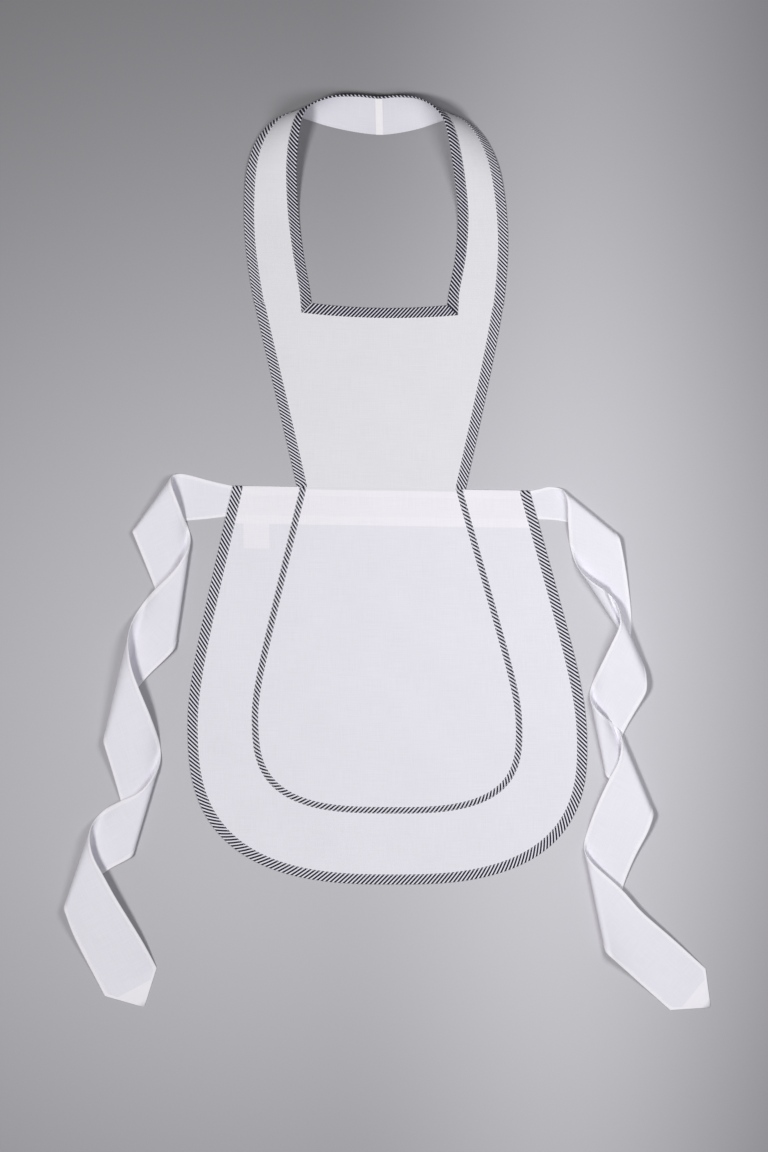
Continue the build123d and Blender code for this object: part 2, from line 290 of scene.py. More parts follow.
def weave(g, pitch, slub):
    """Plain weave of the cloth's own coordinates: height, and the unevenness of its threads."""
    uv = g.add("ShaderNodeTexCoord").outputs["UV"]
    split = g.add("ShaderNodeSeparateXYZ", {0: uv})
    wander = g.noise(uv, 160.0, 1.0)
    turns = 2 * math.pi / pitch
    across = g.math("SINE", g.math("MULTIPLY_ADD", split.outputs[0], turns, g.math("MULTIPLY", wander, 9.0)))
    down = g.math("SINE", g.math("MULTIPLY_ADD", split.outputs[1], turns, g.math("MULTIPLY", wander, 7.0)))
    threads = g.math("MULTIPLY", across, down)
    warp = g.noise(uv, 1.0, 2.0, (1300.0, 34.0, 1.0))
    weft = g.noise(uv, 1.0, 2.0, (30.0, 1150.0, 1.0))
    uneven = g.math("SUBTRACT", g.math("ADD", warp, weft), 1.0)
    height = g.math("MULTIPLY_ADD", threads, 0.4, g.math("MULTIPLY", uneven, slub))
    return uv, split, uneven, height


def dye(g, colour, uneven, uv, thread_tone, patch_tone):
    """Colour the cloth, lighter and darker by its threads and by slow patches."""
    patches = g.math("SUBTRACT", g.noise(uv, 14.0, 3.0), 0.5)
    tone = g.math("MULTIPLY_ADD", uneven, thread_tone, 1.0)
    tone = g.math("MULTIPLY_ADD", patches, patch_tone, tone)
    g.put(g.shader.inputs["Base Color"], g.vector("SCALE", {0: colour, "Scale": tone}))


def rgb(g, colour):
    node = g.add("ShaderNodeRGB")
    node.outputs[0].default_value = (*colour, 1)
    return node.outputs[0]


SINGLE = (0.765, 0.750, 0.805)      # one layer of white cotton, with the grey floor just showing through
DOUBLE = (0.828, 0.802, 0.850)      # two layers
TRIPLE = (0.860, 0.834, 0.880)      # the facing's hem and the seam allowance make three
# the bib's white cotton, two layers, darkened by painted shade for the light falling off towards the neck
BIB_WHITE_WITH_PAINTED_SHADE = (0.743, 0.736, 0.768)
SEAM_WHITE = (0.86, 0.84, 0.85)
LINING = (0.715, 0.700, 0.760)
NAVY = (0.014, 0.013, 0.033)
STRIPE_WHITE = (0.78, 0.77, 0.82)
TIE_SINGLE = (0.79, 0.775, 0.835)
TIE_DOUBLE = (0.88, 0.865, 0.90)
TAPE_WHITE = (0.84, 0.83, 0.86)
THREAD_WHITE = (0.80, 0.79, 0.84)
FLOOR_GREY = (0.452, 0.446, 0.470)
# the cotton's weave and gloss: thread pitch and bump depth in metres, slub, bump strength, roughness, sheen
PITCH, BUMP_DEPTH, SLUB, BUMP, ROUGH, SHEEN = 0.0007, 0.00010, 0.8, 0.55, 0.88, 0.12
EDGE_BLUR = 1.1         # a layer behind the cloth shows with an edge this soft
LABEL_TOP = LABEL_BOTTOM + 41.0
FACING_HEM = 11.0       # turned-in hem of the waistband facing
BIB_HEM_SHOWS = 2.1     # the bib's cloth shows this far below the waist seam


def cotton(name, colour):
    """White cotton of one colour."""
    g = Graph(name)
    uv, _, uneven, height = weave(g, PITCH, SLUB)
    dye(g, rgb(g, colour), uneven, uv, 0.10, 0.06)
    g.bump(height, BUMP, BUMP_DEPTH)
    g.finish_cloth(ROUGH, SHEEN)
    return g.material


def skirt_cotton():
    """The skirt's cotton: whiter where the waistband facing and the label lie behind it."""
    g = Graph("Skirt cotton")
    uv, split, uneven, height = weave(g, PITCH, SLUB)
    u, v = split.outputs[0], split.outputs[1]

    def begins(along, at, blur=EDGE_BLUR):
        return g.ramp(along, (at - blur) * MM, (at + blur) * MM)

    def ends(along, at, blur=EDGE_BLUR):
        return g.ramp(along, (at - blur) * MM, (at + blur) * MM, 1.0, 0.0)

    band = begins(v, -WAISTBAND_H)
    label_across = g.math("MULTIPLY", begins(u, LABEL_U), ends(u, LABEL_U + LABEL_W))
    label_down = g.math("MULTIPLY", begins(v, LABEL_BOTTOM), ends(v, LABEL_TOP, 0.7))
    label = g.math("MULTIPLY", label_across, label_down)
    colour = g.mix(g.math("MAXIMUM", label, band), rgb(g, SINGLE), rgb(g, DOUBLE))
    turned = ends(v, FACING_HEM - WAISTBAND_H, 1.0)
    allowance = begins(v, -SEAM_ALLOWANCE - 1.0, 1.0)
    triple = g.math("MULTIPLY", band, g.math("MAXIMUM", turned, allowance))
    colour = g.mix(g.math("MULTIPLY", triple, 0.6), colour, rgb(g, TRIPLE))
    # just under the waist seam the bib's cloth shows, in the bib's colour with its painted shade
    middle = ends(g.math("ABSOLUTE", u), BIB_WAIST_HALF - 0.5, 0.5)
    bib_hem = g.math("MULTIPLY", middle, begins(v, -BIB_HEM_SHOWS, 0.7))
    colour = g.mix(bib_hem, colour, rgb(g, BIB_WHITE_WITH_PAINTED_SHADE))
    dye(g, colour, uneven, uv, 0.10, 0.06)
    g.bump(height, BUMP, BUMP_DEPTH)
    g.finish_cloth(ROUGH, SHEEN)
    return g.material


def tie_cotton():
    """The ties' cotton: whiter along both hems and on the turned-in point, where it is double."""
    g = Graph("Tie cotton")
    uv, split, uneven, height = weave(g, PITCH, 0.9)
    across = split.outputs[1]
    hem = g.ramp(g.math("ABSOLUTE", g.math("SUBTRACT", across, TIE_WIDTH / 2 * MM)),
                 (TIE_WIDTH / 2 - HEM_W - 0.8) * MM, (TIE_WIDTH / 2 - HEM_W + 0.2) * MM)
    turned_in = g.ramp(split.outputs[0], -POINT_HEM * MM, (1.5 - POINT_HEM) * MM)
    double = g.math("MULTIPLY", g.math("MAXIMUM", hem, turned_in), 0.8)
    colour = g.mix(double, rgb(g, TIE_SINGLE), rgb(g, TIE_DOUBLE))
    dye(g, colour, uneven, uv, 0.10, 0.05)
    g.bump(height, BUMP, BUMP_DEPTH)
    g.finish_cloth(0.86, SHEEN)
    return g.material


def striped(name, direction, period, share):
    """Bias strip: slanting stripes, a share of them navy. direction is 1 or -1, the way they lean."""
    g = Graph(name)
    uv, split, uneven, height = weave(g, 0.0005, 0.5)
    along, across = split.outputs[0], split.outputs[1]
    frayed = g.math("MULTIPLY", g.noise(uv, 900.0, 1.0), 0.0004)
    place = g.math("MULTIPLY_ADD", across, float(direction), g.math("ADD", along, frayed))
    phase = g.math("FRACT", g.math("DIVIDE", place, period * MM))
    dark = g.math("MULTIPLY", g.ramp(phase, 0.0, 0.07), g.ramp(phase, share, share + 0.07, 1.0, 0.0))
    colour = g.mix(dark, rgb(g, STRIPE_WHITE), rgb(g, NAVY))
    dye(g, colour, uneven, uv, 0.16, 0.10)
    g.bump(height, 0.6, BUMP_DEPTH)
    g.finish_cloth(0.85, 0.03)
    return g.material


def label_tape():
    """Tape with fine ribs across it."""
    g = Graph("Label tape")
    uv, split, uneven, height = weave(g, 0.0004, 0.3)
    ribs = g.math("SINE", g.math("MULTIPLY", split.outputs[1], 2 * math.pi / 0.0012))
    dye(g, rgb(g, TAPE_WHITE), uneven, uv, 0.06, 0.04)
    g.bump(g.math("MULTIPLY_ADD", ribs, 0.3, height), 0.5, 0.00008)
    g.finish_cloth(0.6, 0.1)
    return g.material


def thread():
    """Twisted sewing thread."""
    g = Graph("White thread")
    uv, split, uneven, height = weave(g, 0.0006, 0.4)
    twist = g.math("SINE", g.math("MULTIPLY", g.math("ADD", split.outputs[0], split.outputs[1]), 9000.0))
    dye(g, rgb(g, THREAD_WHITE), uneven, uv, 0.08, 0.05)
    g.bump(twist, 0.5, 0.00005)
    g.finish_cloth(0.6, 0.1)
    return g.material


# Painted pool of light on the floor: middle, radii, tone in its middle and outside it
PAINTED_LIGHT_SPOT = (-0.173, -0.328, 1.198, 1.243, 1.183, 0.440)
# Painted band of light up the floor on the +X side: its middle in X, half width and added tone
BAND = (0.266, 0.339, 0.355)


def floor_paper():
    """Matt paper, with a pool of light and a band of light painted into its colour."""
    g = Graph("Studio floor")
    place = g.add("ShaderNodeTexCoord").outputs["Object"]
    fine = g.noise(place, 700.0, 2.0)
    # painted light: the floor's colour is lighter in the spot's middle and along the band
    spot = g.vector("ADD", {0: place, 1: (-PAINTED_LIGHT_SPOT[0], -PAINTED_LIGHT_SPOT[1], 0)})
    spot = g.vector("MULTIPLY", {0: spot, 1: (1 / PAINTED_LIGHT_SPOT[2], 1 / PAINTED_LIGHT_SPOT[3], 0)})
    away = g.vector("LENGTH", {0: spot}, "Value")
    painted_light_pool = g.ramp(away, 0.0, 1.0, PAINTED_LIGHT_SPOT[4], PAINTED_LIGHT_SPOT[5])
    x = g.add("ShaderNodeSeparateXYZ", {0: place}).outputs[0]
    band = g.ramp(g.math("ABSOLUTE", g.math("SUBTRACT", x, BAND[0])), 0.0, BAND[1], BAND[2], 0.0)
    painted_light_pool = g.math("ADD", painted_light_pool, band)
    tone = g.math("MULTIPLY", g.math("MULTIPLY_ADD", g.math("SUBTRACT", fine, 0.5), 0.025, 1.0), painted_light_pool)
    g.put(g.shader.inputs["Base Color"], g.vector("SCALE", {0: rgb(g, FLOOR_GREY), "Scale": tone}))
    g.bump(fine, 0.15, 0.0002)
    g.shader.inputs["Roughness"].default_value = 0.9
    g.shader.inputs["Specular IOR Level"].default_value = 0.2
    return g.material


SKIRT_COTTON = skirt_cotton()
# the bib's colour holds painted shade
BIB_COTTON = cotton("Bib cotton", BIB_WHITE_WITH_PAINTED_SHADE)
SEAM_COTTON = cotton("Seam allowance cotton", SEAM_WHITE)
LINING_COTTON = cotton("Lining cotton", LINING)
TIE_COTTON = tie_cotton()
SKIRT_STRIPES = striped("Skirt stripes", -1, 5.6, 0.565)
BIB_STRIPES = striped("Bib stripes", -1, 4.85, 0.58)
NECK_STRIPES = striped("Neck stripes", 1, 4.9, 0.67)
LABEL_TAPE = label_tape()
THREAD = thread()

# ------------ stitching
STITCH_PITCH = 3.0
STITCH_LENGTH = 2.3
STITCH_R = 0.19
STITCH_SITS = 0.5       # height of a stitch over the cloth under a strip


def stitches(name, rows):
    """Short white stitches along rows of (points, normals); each lies on the cloth with sunk ends."""
    sides = 6
    # rings of a stitch: place along it, share of its radius, height
    rings = [(-0.5, 0.25, -0.25), (-0.36, 0.85, 0.02), (0.0, 1.0, 0.16), (0.36, 0.85, 0.02),
             (0.5, 0.25, -0.25)]
    points, faces, uv = [], [], []
    for path, normals in rows:
        path = np.asarray(path, float)
        length = run_length(path)
        for s in np.arange(STITCH_PITCH / 2, length[-1], STITCH_PITCH):
            here, back, ahead = (np.array([np.interp(s + d, length, path[:, k]) for k in range(3)])
                                 for d in (0, -0.6, 0.6))
            n = unit(np.array([np.interp(s, length, normals[:, k]) for k in range(3)]))
            t = unit(ahead - back)
            b = np.cross(n, t)
            start = len(points)
            for x, r, h in rings:
                for k in range(sides):
                    a = 2 * math.pi * k / sides
                    points.append(here + t * x * STITCH_LENGTH + b * math.cos(a) * r * STITCH_R
                                  + n * (math.sin(a) * r * STITCH_R + h))
                    uv.append((s + x * STITCH_LENGTH, k * 0.2))
            faces += grid_faces(len(rings), sides, True, start)
            faces.append(tuple(range(start + sides - 1, start - 1, -1)))
            last = start + (len(rings) - 1) * sides
            faces.append(tuple(range(last, last + sides)))
    return new_object(name, points, faces, uv, THREAD)


# ------------ striped strips
def strip_profile(width, folded_edge, wrap=0.0):
    """Section of a strip: distance in from its edge and height over the cloth, round the loop.

    wrap is how far it turns on to the wrong side of the two layers under it.
    """
    inner = [(width - 2.3, 0.66), (width - 1.7, 0.56), (width - 1.2, 0.44), (width - 0.7, 0.54),
             (width - 0.15, 0.42), (width, 0.18), (width - 0.1, 0.03)]
    middle = [(width * 0.2, 0.72), (width * 0.35, 0.78), (width * 0.5, 0.80), (width * 0.65, 0.76)]
    if folded_edge:
        outer = [(0.5, -0.50), (0.08, -0.42), (-0.12, -0.12), (-0.10, 0.20), (0.1, 0.46), (0.6, 0.62),
                 (1.3, 0.69)]
    else:
        outer = [(0.1, 0.03), (0.0, 0.18), (0.15, 0.42), (0.7, 0.54), (1.2, 0.44), (1.7, 0.56)]
    under = [(width * 0.6, 0.03), (0.6, 0.03)]
    if wrap:
        back = -2 * CLOTH - 0.12
        outer = [(0.1, back), (wrap, back), (wrap + 0.15, back - 0.25), (wrap * 0.5, back - 0.62),
                 (0.1, back - 0.55), (-0.5, back - 0.2), (-0.75, -0.35), (-0.6, 0.15), (-0.1, 0.50),
                 (0.5, 0.63), (1.3, 0.69)]
    return np.array(outer + middle + inner + under)


def strip(name, base, normal, profile, along, material, ease=1.0):
    """Sweep of the profile; base and normal have a row per station and a column per profile point.

    ease, for each station, is how much the stripes are eased across the strip.
    """
    rows, cols = base.shape[:2]
    points = base + normal * profile[None, :, 1, None]
    faces = grid_faces(rows, cols, True)
    faces.append(tuple(range(cols - 1, -1, -1)))
    faces.append(tuple(range((rows - 1) * cols, rows * cols)))
    uv = np.stack([along, profile[None, :, 0] * np.broadcast_to(ease, (rows,))[:, None]], -1)
    return new_object(name, points.reshape(-1, 3), faces, uv.reshape(-1, 2), material)


def flat_strip_base(edge, inward, top, profile):
    """Base points and normals of a strip on flat cloth. edge and inward are rows of (u, v)."""
    uv = edge[:, None, :] + inward[:, None, :] * profile[None, :, 0, None]
    return laid(uv[..., 0], uv[..., 1], top)


def inward_of(edge):
    """Unit vectors square to the edge, to the left of its run."""
    t = np.gradient(edge, axis=0)
    return unit(np.stack([-t[:, 1], t[:, 0]], -1))


# ------------ skirt
def u_outline(waist, half, wide_v, hem_v, straightness, roundness):
    """Points of a U from the waist seam at +u, down and round the hem, to the waist seam at -u."""
    t = np.linspace(0, 1, 61)[:-1]
    side = np.stack([waist + (half - waist) * flare(t, straightness), wide_v * t], -1)
    a = np.linspace(0, math.pi / 2, 200)
    hem = np.stack([half * np.cos(a) ** (2 / roundness),
                    wide_v - (wide_v - hem_v) * np.sin(a) ** (2 / roundness)], -1)
    side[0, 1] = SEAM_V
    hem[-1] = (0.0, hem_v)
    right = np.vstack([side, hem])
    return np.vstack([right, (right[:-1] * [-1, 1])[::-1]])


def skirt_half(v):
    t = np.clip(np.asarray(v, float) / SKIRT_WIDE_V, 0, 1)
    return WAIST_HALF + (SKIRT_HALF - WAIST_HALF) * flare(t, SKIRT_FLARE)


def root_lift(u, v):
    """The pleated ends of the ties raise the sides of the waistband."""
    near = smooth(-WAISTBAND_H, -36, v) * (1 - smooth(-2, 1.5, v))
    return near * smooth(172, 188, np.abs(u))


LABEL_LIFT = 0.8        # of a facing's thickness


def skirt_top(u, v):
    """Height of the skirt's outer face."""
    x, y = lay(u, v)
    facing = smooth(-WAISTBAND_H - 7.0, -WAISTBAND_H + 0.6, v)
    label = (smooth(LABEL_U - 1.5, LABEL_U + 0.5, u)
             * (1 - smooth(LABEL_U + LABEL_W - 0.5, LABEL_U + LABEL_W + 1.5, u))
             * smooth(LABEL_BOTTOM - 1.5, LABEL_BOTTOM + 0.5, v))
    seam = SEAM_DIP * (1 - smooth(0, 1.6, np.abs(v - SEAM_V)))
    lift = np.maximum(facing, LABEL_LIFT * label)
    return SINGLE_TOP + (DOUBLE_TOP - SINGLE_TOP) * lift + ripple(x, y) + root_lift(u, v) - seam


skirt_edge, skirt_along = resample(
    u_outline(WAIST_HALF, SKIRT_HALF, SKIRT_WIDE_V, HEM_V, SKIRT_FLARE, HEM_ROUND), 3.0)
inner_edge, inner_along = resample(
    u_outline(INNER_WAIST_HALF, INNER_HALF, INNER_WIDE_V, INNER_HEM_V, INNER_FLARE, INNER_ROUND), 2.5)
top_edge = np.stack([np.linspace(-WAIST_HALF, WAIST_HALF, 96)[1:-1], np.full(94, SEAM_V)], -1)

cut, triangles = fill(np.vstack([skirt_edge, top_edge])[::-1], 4.0)
skirt = new_object("skirt_cloth", laid(*cut.T, skirt_top), triangles, cut, SKIRT_COTTON, CLOTH)


def skirt_strip(name, edge, along, width, folded):
    """Strip on the skirt, with its stitching: round the hem from +u to -u, so inwards is to the right."""
    profile = strip_profile(width, folded)
    inward = -inward_of(edge)
    inward[0], inward[-1] = (-1, 0), (1, 0)
    base = flat_strip_base(edge, inward, skirt_top, profile)
    up = np.broadcast_to(UP, base.shape)
    length = np.broadcast_to(-along[:, None], base.shape[:2])
    made = strip(name, base, up, profile, length, SKIRT_STRIPES)
    rows = []
    for w in ([width - 1.2] if folded else [1.2, width - 1.2]):
        line = flat_strip_base(edge, inward, skirt_top, np.array([(w, 0.0)]))[:, 0]
        rows.append((line + [0, 0, STITCH_SITS], np.broadcast_to(UP, line.shape)))
    return made, rows


hem_strip, hem_rows = skirt_strip("skirt_hem_trim", skirt_edge, skirt_along, BINDING_W, True)
inner_strip, inner_rows = skirt_strip("skirt_inner_band", inner_edge, inner_along, TRIM_W, False)
skirt_thread = stitches("skirt_stitching", hem_rows + inner_rows)

BAND_ROWS, BAND_COLS = 14, 96
rows_v = np.linspace(SEAM_V, -WAISTBAND_H, BAND_ROWS)
cols = np.linspace(-1, 1, BAND_COLS)
uu = skirt_half(rows_v)[:, None] * cols[None, :]
vv = np.broadcast_to(rows_v[:, None], uu.shape)
facing_points = laid(uu, vv, rippled(FACING_TOP)).reshape(-1, 3)
facing_uv = np.stack([uu, vv], -1).reshape(-1, 2)
facing_faces = [f[::-1] for f in grid_faces(BAND_ROWS, BAND_COLS)]
waistband = new_object("waistband_facing_cloth", facing_points, facing_faces, facing_uv, LINING_COTTON, CLOTH)

LABEL_CORNER = 1.2
LABEL_FACE, LABEL_THICK = 0.32, 0.25
label_u, label_v = (LABEL_U, LABEL_U + LABEL_W), (LABEL_BOTTOM, -WAISTBAND_H - 0.2)
label_outline = []
for end_u, end_v, start in ((1, 1, 0), (0, 1, 90), (0, 0, 180), (1, 0, 270)):
    middle_u = label_u[end_u] + LABEL_CORNER * (1 - 2 * end_u)
    middle_v = label_v[end_v] + LABEL_CORNER * (1 - 2 * end_v)
    for angle in np.radians(np.arange(start, start + 91, 30)):
        label_outline.append((middle_u + LABEL_CORNER * math.cos(angle),
                              middle_v + LABEL_CORNER * math.sin(angle)))
cut, triangles = fill(resample(label_outline + label_outline[:1], 1.5)[0][:-1], 2.0)
label = new_object("care_label_tape", laid(*cut.T, rippled(LABEL_FACE)), triangles, cut, LABEL_TAPE,
                   LABEL_THICK)


# ------------ bib, straps and neck loop
def bib_half(v):
    t = np.asarray(v, float) / BIB_WIDE_V
    return BIB_WAIST_HALF + (BIB_HALF - BIB_WAIST_HALF) * flare(t, BIB_FLARE)


def neckline(t):
    """Point of the neckline, which sags between its corners at t = -1 and t = 1."""
    return NECKLINE_SHIFT + NECKLINE_HALF * t, NECKLINE_V - NECKLINE_DIP * (1 - t ** 2)


def bib_top(u, v):
    """Height of the bib's outer face."""
    x, y = lay(u, v)
    return DOUBLE_TOP + ripple(x, y) - SEAM_DIP * (1 - smooth(0, 1.6, np.abs(v - SEAM_V)))


STRAP_STEPS = 9         # rows from one station of a strap to the next
STRAP_RUN_IN = 64.0     # the curves of its edges start this far under the neckline
STRAP_COLS = 17
STRAP_EDGE_U = 150.0    # where its outer edge counts as lying in the cloth's own coordinates


def strap_edges(side):
    """Rows of points along the outer and the inner edge of a strap, on its lowest layer."""
    ou, ov, iu, iv, rise, in_shift = STRAP.T
    lift = np.minimum(EDGE_LIFT, rise / 10)
    shift = BACK_SHIFT * np.maximum(0, 1 - ou / BACK_SHIFT_FROM)
    edges = []
    for s in (side, -side):
        outer = np.stack([*lay(s * ou + shift, ov), lift], -1)
        inner = np.stack([*lay(s * iu + shift + in_shift, iv), lift + rise], -1)
        edges.append(np.concatenate([outer, inner], 1))
    mine, other = edges
    low = NECKLINE_V - STRAP_RUN_IN
    below = np.concatenate([[*lay(side * bib_half(low), low), 0], [*lay(neckline(side)[0], low), 0]])
    rows = np.vstack([below, mine, other[-2]])
    fine = spline(rows, STRAP_STEPS)[STRAP_STEPS:-STRAP_STEPS]
    return fine[:, :3], fine[:, 3:]


BOW, BACK_BOW = 2.2, 8.0    # how far the standing strap curves across, at the side and the back


def strap_frame(side):
    """Both edges of a strap, its normals, its width, and how far it stands up, row by row."""
    outer, inner = strap_edges(side)
    across = inner - outer
    t = np.gradient(outer + inner, axis=0)
    t[-1] = (-side, 0, 0)
    t[0] = (0, 1, 0)
    n = unit(np.cross(t, across)) * side
    width = np.linalg.norm(across, axis=1)
    standing = smooth(0, 30, inner[:, 2] - outer[:, 2])
    return outer, inner, n, width, standing


def strap_surface(side, c, height):
    """Points at fractions c across the strap, at a height along its normal. c has a row per station."""
    outer, inner, n, width, standing = strap_frame(side)
    p = outer[:, None] + (inner - outer)[:, None] * c[..., None]
    depth = (BOW + (BACK_BOW - BOW) * smooth(100, 30, np.abs(outer[:, 0]))) * standing
    bow = depth[:, None] * 4 * np.clip(c, 0, 1) * (1 - np.clip(c, 0, 1))
    settle = 1 - smooth(NECKLINE_V + 10, NECKLINE_V + 90, p[..., 1])
    p = p + n[:, None] * (bow + height)[..., None]
    p[..., 2] += ripple(p[..., 0], p[..., 1]) * settle + (1 - settle) * 0.25
    return p, np.broadcast_to(n[:, None], p.shape)


def bib_layer(name, height, material, drop):
    """One layer of the bib with both straps, cut in one piece and joined at the centre back."""
    rows_v = np.linspace(SEAM_V, NECKLINE_V, 70)
    right = np.stack([bib_half(rows_v), rows_v], -1)
    across = np.linspace(0, 1, STRAP_COLS)
    shoulder = {side: np.stack([side * STRAP[0, 0] + (neckline(side)[0] - side * STRAP[0, 0]) * across,
                                np.full(STRAP_COLS, NECKLINE_V)], -1) for side in (-1, 1)}
    neck = np.stack(neckline(np.linspace(1, -1, 46)[1:-1]), -1)
    bottom_u = np.linspace(-BIB_WAIST_HALF, BIB_WAIST_HALF, 56)[1:-1]
    bottom = np.stack([bottom_u, np.full(54, SEAM_V)], -1)
    left_side = (right[:-1] * [-1, 1])[::-1]
    outline = np.vstack([right[:-1], shoulder[1], neck, shoulder[-1][::-1], left_side, bottom])
    cut, triangles = fill(outline, 4.0)
    points = [laid(*cut.T, bib_top) - [0, 0, drop]]
    faces = list(triangles)
    uv = [cut]
    for side in (-1, 1):
        outer, inner, _, width, _ = strap_frame(side)
        c = np.broadcast_to(across[None, :], (len(outer), STRAP_COLS))
        p, _ = strap_surface(side, c, np.full(c.shape, height))
        p[0] = laid(*shoulder[side].T, bib_top) - [0, 0, drop]
        run = NECKLINE_V + run_length((outer + inner) / 2)
        start = sum(len(q) for q in points)
        made = grid_faces(len(outer), STRAP_COLS, False, start)
        faces += made if side < 0 else [f[::-1] for f in made]
        points.append(p.reshape(-1, 3))
        strap_u = side * (STRAP_EDGE_U - c * width[:, None])
        uv.append(np.stack([strap_u, np.broadcast_to(run[:, None], c.shape)], -1).reshape(-1, 2))
    return new_object(name, np.vstack(points), faces, np.vstack(uv), material, CLOTH, weld=True)


bib = bib_layer("bib_cloth", DOUBLE_TOP, BIB_COTTON, 0.0)
bib_lining = bib_layer("bib_facing_cloth", DOUBLE_TOP - LINING_DROP, LINING_COTTON, LINING_DROP)

edge_profile = strip_profile(BINDING_W, True)
neck_profile = strip_profile(BINDING_W, True, 1.9)
seam_rows = []
bib_strips = []
BACK_STITCH_AT = 4.0    # row of stitches along the outer edge of the back, seen on the wrong side

for side, word in ((-1, "left"), (1, "right")):
    outer, inner, _, width, _ = strap_frame(side)
    w = edge_profile[:, 0]

    # outer edge: up the side of the bib, then along the strap to the centre back
    v = np.linspace(SEAM_V, NECKLINE_V, 78)[:-1]
    edge = np.stack([side * bib_half(v), v], -1)
    inward = inward_of(edge) * side
    inward[0] = (-side, 0)
    base = flat_strip_base(edge, inward, bib_top, edge_profile)
    up = np.broadcast_to(UP, base.shape)
    c = w[None, :] / width[:, None]
    on_strap, strap_n = strap_surface(side, c, np.full(c.shape, DOUBLE_TOP))
    base, up = np.concatenate([base, on_strap]), np.concatenate([up, strap_n])
    along = np.broadcast_to(side * run_length(base[:, 0, :2])[:, None], base.shape[:2])
    ease = np.linalg.norm((inner - outer)[:, :2], axis=1) / width
    bib_strips.append(strip(f"bib_trim_{word}", base, up, edge_profile, along, BIB_STRIPES,
                            np.concatenate([np.ones(len(v)), ease])))
    pick = int(np.argmin(np.abs(w - (BINDING_W - 1.2))))
    seam_rows.append((base[:, pick] + up[:, pick] * STITCH_SITS, up[:, pick]))

    # neck edge: from the mitre at the neckline's corner along the strap to the centre back
    w = neck_profile[:, 0]
    pick = int(np.argmin(np.abs(w - (BINDING_W - 1.2))))
    c = 1 - w[None, :] / width[:, None]
    on_strap, strap_n = strap_surface(side, c, np.full(c.shape, DOUBLE_TOP))
    keep = np.arange(len(outer)) >= 2
    mitre_u = neckline(side)[0] + side * w
    mitre_v = NECKLINE_V - w
    mitre = laid(mitre_u, mitre_v, bib_top)[None]
    flat_n = np.broadcast_to(UP, mitre.shape)
    base, up = np.concatenate([mitre, on_strap[keep]]), np.concatenate([flat_n, strap_n[keep]])
    length = run_length(on_strap[:, 0, :2])
    along = np.concatenate([-w[None], np.broadcast_to(length[keep][:, None], (keep.sum(), len(w)))])
    bib_strips.append(strip(f"neck_trim_{word}", base, up, neck_profile, side * along, NECK_STRIPES,
                            np.concatenate([ease[:1], ease[keep]])))
    seam_rows.append((base[:, pick] + up[:, pick] * STITCH_SITS, up[:, pick]))

w = edge_profile[:, 0]
t = np.linspace(-1, 1, 70)
neck_u, neck_v = neckline(t)
uu = neck_u[:, None] + t[:, None] * w[None, :]
vv = neck_v[:, None] - w[None, :]
base = laid(uu, vv, bib_top)
up = np.broadcast_to(UP, base.shape)
bib_strips.append(strip("neckline_trim", base, up, edge_profile, uu, NECK_STRIPES))
seam_rows.append((base[:, pick] + up[:, pick] * STITCH_SITS, up[:, pick]))
for side in (-1, 1):
    turned = slice(6 * STRAP_STEPS, None)
    c = (BACK_STITCH_AT / strap_frame(side)[3])[:, None]
    line, line_n = strap_surface(side, c, np.full(c.shape, WRONG_SIDE))
    seam_rows.append((line[turned, 0], -line_n[turned, 0]))
bib_thread = stitches("bib_stitching", seam_rows)

# the pressed-open seam at the centre back, on the wrong side
TAB_COLS, TAB_THICK = 13, 0.15
across = np.linspace(0, 1, TAB_COLS)
tabs = []
for side in (-1, 1):
    c = np.broadcast_to(across[None, :], (len(strap_frame(side)[0]), TAB_COLS))
    p, _ = strap_surface(side, c, np.full(c.shape, WRONG_SIDE))
    reach = np.linspace(0, SEAM_ALLOWANCE / 2, 4)
    rows = p[-1][None] - unit(p[-1] - p[-2])[None] * reach[:, None, None]
    tabs.append(rows[::-1] if side < 0 else rows[1:])
sheet = np.concatenate(tabs)
uv = np.stack(np.meshgrid(np.arange(len(sheet)) * 1.5, across * 48, indexing="ij"), -1)
seam_tab = new_object("back_seam_tab", sheet.reshape(-1, 3), grid_faces(len(sheet), TAB_COLS),
                      uv.reshape(-1, 2), SEAM_COTTON, TAB_THICK)


# ------------ waist ties
# Each fold is (upper end, lower end, radius of the roll at each, height it starts from at each).
LEFT_FOLDS = [
    ((-270, 12), (-317, -54), 9.0, 3.0, 0.6, 0.6),
    ((-243, -67), (-262, -199), 7.0, 6.0, 0.6, 0.6),
    ((-324, -192), (-354, -319), 13.0, 5.0, 0.6, 0.6),
    ((-280, -342), (-316, -465), 7.0, 5.0, 0.6, 0.6),
    ((-373, -439), (-404, -531), 11.0, 5.5, 0.6, 0.6),
]
